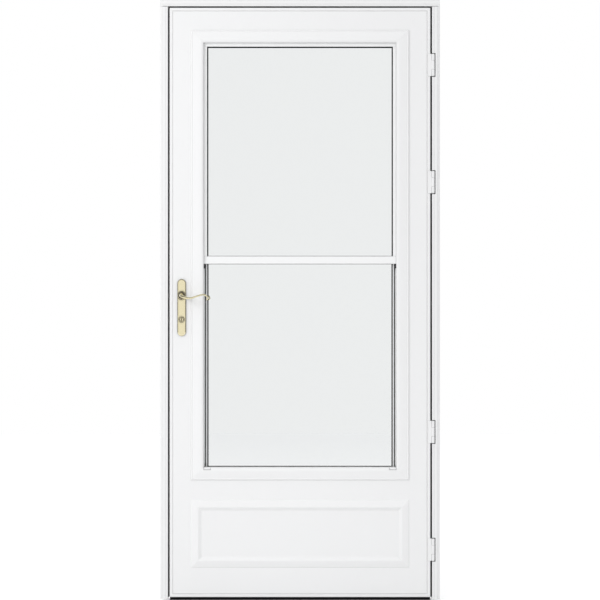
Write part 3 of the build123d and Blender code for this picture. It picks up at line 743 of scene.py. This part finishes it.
def screwHead(name, radius, height, flat):
    # a turned head with a cross recess, its axis along +Z and its foot at 0
    shape = bmesh.new()
    turns = screwShape["turns"]
    rings = []
    for ringRadius, z in headProfile(radius, height, flat):
        ring = []
        for turn in range(turns):
            angle = math.tau * turn / turns
            ring.append(shape.verts.new((ringRadius * math.cos(angle), ringRadius * math.sin(angle), z)))
        rings.append(ring)
    for below, above in zip(rings, rings[1:]):
        for turn in range(turns):
            after = (turn + 1) % turns
            shape.faces.new((below[turn], below[after], above[after], above[turn]))
    shape.faces.new(rings[-1])
    shape.faces.new(list(reversed(rings[0])))
    head = linkShape(name, shape)
    cutter = crossCutter(name + "Cross", radius, height)
    cut = head.modifiers.new("cut", "BOOLEAN")
    cut.operation = "DIFFERENCE"
    cut.solver = "EXACT"
    cut.use_self = True
    cut.object = cutter
    graph = bpy.context.evaluated_depsgraph_get()
    head.data = bpy.data.meshes.new_from_object(head.evaluated_get(graph))
    head.modifiers.clear()
    bpy.data.objects.remove(cutter)
    return head


def makeScrewTree():
    # a screw head on every point of a short row or ring, turned by its own angle
    tree, given, out = newTree(
        "screwsOnPath",
        [
            ("Head", "NodeSocketObject"),
            ("Half Across", "NodeSocketFloat"),
            ("Half Up", "NodeSocketFloat"),
            ("Centre", "NodeSocketVector"),
            ("Facing", "NodeSocketRotation"),
            ("Count", "NodeSocketInt"),
            ("Material", "NodeSocketMaterial"),
        ],
    )
    make, link = tree.nodes.new, tree.links.new
    ring = make("GeometryNodeCurvePrimitiveQuadrilateral")
    link(mathNode(tree, "MULTIPLY", given["Half Across"], 2.0), ring.inputs["Width"])
    link(mathNode(tree, "MULTIPLY", given["Half Up"], 2.0), ring.inputs["Height"])
    points = make("GeometryNodeCurveToPoints")
    points.mode = "COUNT"
    link(ring.outputs[0], points.inputs["Curve"])
    link(given["Count"], points.inputs["Count"])
    info = make("GeometryNodeObjectInfo")
    info.inputs["As Instance"].default_value = True
    link(given["Head"], info.inputs["Object"])
    turn = make("FunctionNodeRandomValue")
    turn.data_type = "FLOAT"
    turn.inputs["Max"].default_value = math.tau
    turn.inputs["Seed"].default_value = screwShape["turnSeed"]
    instance = make("GeometryNodeInstanceOnPoints")
    link(points.outputs["Points"], instance.inputs["Points"])
    link(info.outputs["Geometry"], instance.inputs["Instance"])
    link(joinVector(tree, z=turn.outputs[1]), instance.inputs["Rotation"])
    place = make("GeometryNodeTransform")
    link(instance.outputs[0], place.inputs["Geometry"])
    link(given["Centre"], place.inputs["Translation"])
    link(given["Facing"], place.inputs["Rotation"])
    endTree(tree, out, place.outputs[0], given["Material"])
    return tree


screwTree = makeScrewTree()

# each turns a screw's +Z to face that way
indoors = (-math.pi / 2, 0, 0)
towardsLatch = (0, -math.pi / 2, 0)
towardsHinges = (0, math.pi / 2, 0)


def addScrews(name, sizes, centre, halfAcross, halfUp, facing, count, body):
    head = screwHead(name + "Head", sizes["radius"], sizes["height"], sizes["flat"])
    values = {
        "Head": head,
        "Half Across": halfAcross,
        "Half Up": halfUp,
        "Centre": centre,
        "Facing": facing,
        "Count": count,
        "Material": finishes[sizes["finish"]],
    }
    growPiece(name, screwTree, values, body)
    bpy.data.objects.remove(head)


trimScrews = {
    "radius": 0.0038,
    "height": 0.0021,
    "flat": False,
    "inset": 0.019,  # from the trim's outer edge
    "count": 20,
    "finish": "mouldingVinyl",
    "slot": "white_enamel",
}


def addTrimScrews():
    # a ring of screws round the indoor trim of the window
    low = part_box("indoor_trim_foot")[0]
    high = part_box("indoor_trim_head")[1]
    centre = ((low.x + high.x) / 2, high.y, (low.z + high.z) / 2)
    halfAcross = (high.x - low.x) / 2 - trimScrews["inset"]
    halfUp = (high.z - low.z) / 2 - trimScrews["inset"]
    addScrews(
        "indoorTrimScrews", trimScrews, centre, halfAcross, halfUp, indoors, trimScrews["count"], "leaf"
    )


plateScrews = {
    "radius": 0.0036,
    "height": 0.0016,
    "flat": False,
    "fromEnd": 0.015,
    "roseHeight": 0.003,  # the rose under the lever stands this far out from the plate
    "finish": "polishedBrass",
    "slot": "polished_brass",
}
edgeScrews = {
    "radius": 0.0038,
    "height": 0.0004,
    "flat": True,
    "fromEnd": 0.008,
    "finish": "satinSteel",
    "slot": "satin_steel",
}


def addEndScrews(name, node, sizes, facing, body):
    # one screw near each end of an upright plate
    low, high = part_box(node)
    x, y, z = (low.x + high.x) / 2, (low.y + high.y) / 2, (low.z + high.z) / 2
    reach = (high.z - low.z) / 2 - sizes["fromEnd"]
    if facing == indoors:
        addScrews(name, sizes, (x, high.y - sizes["roseHeight"], z), 0.0, reach, facing, 2, body)
    else:
        # a turn to either side stands the row's width upright
        faceX = low.x if facing == towardsLatch else high.x
        addScrews(name, sizes, (faceX, y, z), reach, 0.0, facing, 2, body)


addTrimScrews()
addEndScrews("indoorPlateScrews", "inside_escutcheon", plateScrews, indoors, "leaf")
addEndScrews("faceplateScrews", "latch_faceplate", edgeScrews, towardsLatch, "leaf")
addEndScrews("strikeScrews", "strike_plate", edgeScrews, towardsHinges, "frame")

# Pile strips between the lower sash and the side tracks' middle fins: real weatherstrip, whose dark also
# stands in as painted shade in the tracks

pile = {
    "tuftLength": 0.0011,
    "tuftWidth": 0.0034,
    "tuftHeight": 0.0026,
    "tuftSides": 5,
    "tuftTop": 0.28,  # its radii at the top and the foot, as shares of its length and width
    "tuftFoot": 0.56,
    "pitch": 0.0013,
    "swing": 0.00025,  # how far a tuft's sizes go up and down
    "swingSeed": 11,
    "gap": 0.0003,  # off the stile's raised edge
    "raisedEdge": 0.004,  # width of that edge, beside the glass
    "raisedStep": 0.0018,  # how far it stands out before the rest of the stile
    "rebate": 0.006,  # how far the glass goes into the stile
    "fromEnd": 0.004,
}


def makePileTree():
    # tufts along an upright line, and the same again on the other side of the sash
    tree, given, out = newTree(
        "pileStrip",
        [
            ("Low", "NodeSocketVector"),
            ("High", "NodeSocketVector"),
            ("Pitch", "NodeSocketFloat"),
            ("Tuft", "NodeSocketVector"),
            ("Swing", "NodeSocketFloat"),
            ("Mirrored Place", "NodeSocketVector"),
            ("Material", "NodeSocketMaterial"),
        ],
    )
    make, link = tree.nodes.new, tree.links.new
    line = make("GeometryNodeCurvePrimitiveLine")
    link(given["Low"], line.inputs["Start"])
    link(given["High"], line.inputs["End"])
    points = make("GeometryNodeCurveToPoints")
    points.mode = "LENGTH"
    link(line.outputs[0], points.inputs["Curve"])
    link(given["Pitch"], points.inputs["Length"])
    tuft = make("GeometryNodeMeshCone")
    tuft.fill_type = "NGON"
    tuft.inputs["Vertices"].default_value = pile["tuftSides"]
    tuft.inputs["Radius Top"].default_value = pile["tuftTop"]
    tuft.inputs["Radius Bottom"].default_value = pile["tuftFoot"]
    tuft.inputs["Depth"].default_value = 1
    sway = make("FunctionNodeRandomValue")
    sway.data_type = "FLOAT_VECTOR"
    sway.inputs[0].default_value = (-1, -1, -1)
    sway.inputs[1].default_value = (1, 1, 1)
    sway.inputs["Seed"].default_value = pile["swingSeed"]
    scaled = make("ShaderNodeVectorMath")
    scaled.operation = "SCALE"
    link(sway.outputs[0], scaled.inputs[0])
    link(given["Swing"], scaled.inputs["Scale"])
    sized = make("ShaderNodeVectorMath")
    sized.operation = "ADD"
    link(given["Tuft"], sized.inputs[0])
    link(scaled.outputs[0], sized.inputs[1])
    instance = make("GeometryNodeInstanceOnPoints")
    instance.inputs["Rotation"].default_value = (math.pi / 2, 0, 0)  # tufts stand towards the outdoors
    link(points.outputs["Points"], instance.inputs["Points"])
    link(tuft.outputs["Mesh"], instance.inputs["Instance"])
    link(sized.outputs[0], instance.inputs["Scale"])
    other = make("GeometryNodeTransform")
    link(instance.outputs[0], other.inputs["Geometry"])
    link(given["Mirrored Place"], other.inputs["Translation"])
    both = make("GeometryNodeJoinGeometry")
    link(instance.outputs[0], both.inputs[0])
    link(other.outputs[0], both.inputs[0])
    endTree(tree, out, both.outputs[0], given["Material"])
    return tree


def addPile():
    stileLow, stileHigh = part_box("lower_sash_stiles")
    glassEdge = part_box("lower_glass")[1].x
    raisedEnd = glassEdge - pile["rebate"] + pile["raisedEdge"]
    x = raisedEnd + pile["gap"] + pile["tuftWidth"] / 2
    y = stileLow.y + pile["raisedStep"] - pile["tuftHeight"] / 2
    values = {
        "Low": (x, y, stileLow.z + pile["fromEnd"]),
        "High": (x, y, stileHigh.z - pile["fromEnd"]),
        "Pitch": pile["pitch"],
        "Tuft": (pile["tuftWidth"], pile["tuftLength"], pile["tuftHeight"]),
        "Swing": pile["swing"],
        "Mirrored Place": (-2 * x, 0, 0),
        "Material": finishes["pileFibre"],
    }
    growPiece("sashPile", makePileTree(), values, "leaf")


addPile()
